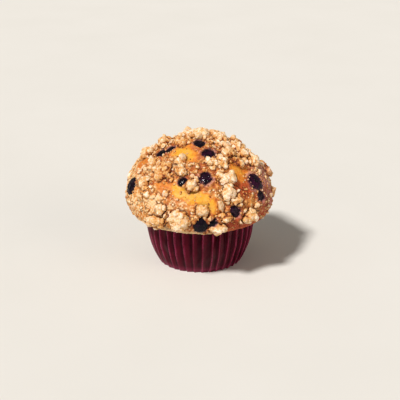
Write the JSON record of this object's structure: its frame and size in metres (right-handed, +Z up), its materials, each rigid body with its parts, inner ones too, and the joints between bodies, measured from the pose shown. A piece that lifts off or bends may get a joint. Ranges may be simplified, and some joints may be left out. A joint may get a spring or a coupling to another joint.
{
  "type": "blueberry streusel muffin",
  "caption": "Domed blueberry muffin with streusel clumps on top, standing in a pleated paper baking cup.",
  "frame": {"origin": "centre of the cup's underside, on the surface that the muffin stands on", "axes": "+Z up through the crown, +X to the right of the pictured side, -Y towards the camera"},
  "size_m": [0.0871, 0.0944, 0.0817],
  "materials": {
    "paper": "burgundy greaseproof paper, slight sheen",
    "cake": "golden baked crust, matt",
    "blueberry": "dark baked fruit skin, slight gloss",
    "streusel": "dry baked crumb, matt"
  },
  "bodies": {
    "root": {"baking_cup": "paper", "muffin_cake": "cake", "blueberry_01": "blueberry", "blueberry_02": "blueberry", "blueberry_03": "blueberry", "blueberry_04": "blueberry", "blueberry_05": "blueberry", "blueberry_06": "blueberry", "blueberry_07": "blueberry", "blueberry_08": "blueberry", "blueberry_09": "blueberry", "blueberry_10": "blueberry", "blueberry_11": "blueberry", "blueberry_12": "blueberry", "blueberry_13": "blueberry", "blueberry_14": "blueberry", "blueberry_15": "blueberry", "blueberry_16": "blueberry", "blueberry_17": "blueberry", "streusel_01": "streusel", "streusel_02": "streusel", "streusel_03": "streusel", "streusel_04": "streusel", "streusel_05": "streusel", "streusel_06": "streusel", "streusel_07": "streusel", "streusel_08": "streusel", "streusel_09": "streusel", "streusel_10": "streusel", "streusel_11": "streusel", "streusel_12": "streusel", "streusel_13": "streusel", "streusel_14": "streusel", "streusel_15": "streusel", "streusel_16": "streusel", "streusel_17": "streusel", "streusel_18": "streusel", "streusel_19": "streusel", "streusel_20": "streusel", "streusel_21": "streusel", "streusel_22": "streusel", "streusel_23": "streusel", "streusel_24": "streusel", "streusel_25": "streusel", "streusel_26": "streusel", "streusel_27": "streusel", "streusel_28": "streusel", "streusel_29": "streusel", "streusel_30": "streusel", "streusel_31": "streusel", "streusel_32": "streusel", "streusel_33": "streusel", "streusel_34": "streusel", "streusel_35": "streusel", "streusel_36": "streusel", "streusel_37": "streusel", "streusel_38": "streusel"}
  },
  "joints": []
}
